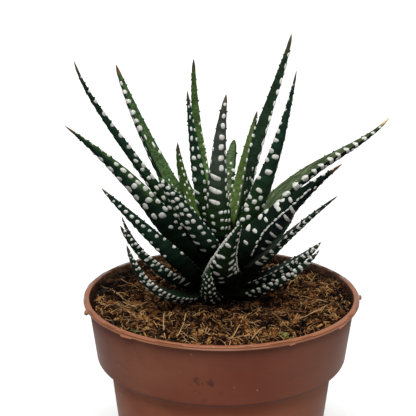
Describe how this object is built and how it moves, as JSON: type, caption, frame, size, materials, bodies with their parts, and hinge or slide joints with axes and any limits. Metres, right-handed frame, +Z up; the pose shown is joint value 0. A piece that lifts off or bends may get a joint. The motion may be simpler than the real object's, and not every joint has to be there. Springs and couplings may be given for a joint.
{
  "type": "potted haworthia attenuata",
  "caption": "Small spiky rosette succulent with white tubercle bands on dark green pointed leaves, in a tapered round plastic nursery pot with a tall collar.",
  "frame": {"origin": "centre of the pot's flat base, on the surface that it stands on", "axes": "+Z up along the pot's axis; -Y is the side that the picture shows; +X to its right"},
  "size_m": [0.1367, 0.12, 0.209],
  "materials": {
    "pot_plastic": "satin",
    "coir": "matte",
    "stem": "satin",
    "leaf": "satin"
  },
  "bodies": {
    "root": {"pot": "pot_plastic", "soil": "coir", "crown": "stem", "leaf_01": "leaf", "leaf_02": "leaf", "leaf_03": "leaf", "leaf_04": "leaf", "leaf_05": "leaf", "leaf_06": "leaf", "leaf_07": "leaf", "leaf_08": "leaf", "leaf_09": "leaf", "leaf_10": "leaf", "leaf_11": "leaf", "leaf_12": "leaf", "leaf_13": "leaf", "leaf_14": "leaf", "leaf_15": "leaf", "leaf_16": "leaf", "leaf_17": "leaf", "leaf_18": "leaf", "leaf_19": "leaf", "leaf_20": "leaf", "leaf_21": "leaf", "leaf_22": "leaf", "leaf_23": "leaf", "leaf_24": "leaf", "leaf_25": "leaf", "leaf_26": "leaf", "leaf_27": "leaf", "leaf_28": "leaf", "leaf_29": "leaf", "leaf_30": "leaf", "leaf_31": "leaf", "leaf_32": "leaf", "leaf_33": "leaf", "leaf_34": "leaf", "leaf_35": "leaf", "leaf_36": "leaf"}
  },
  "joints": []
}
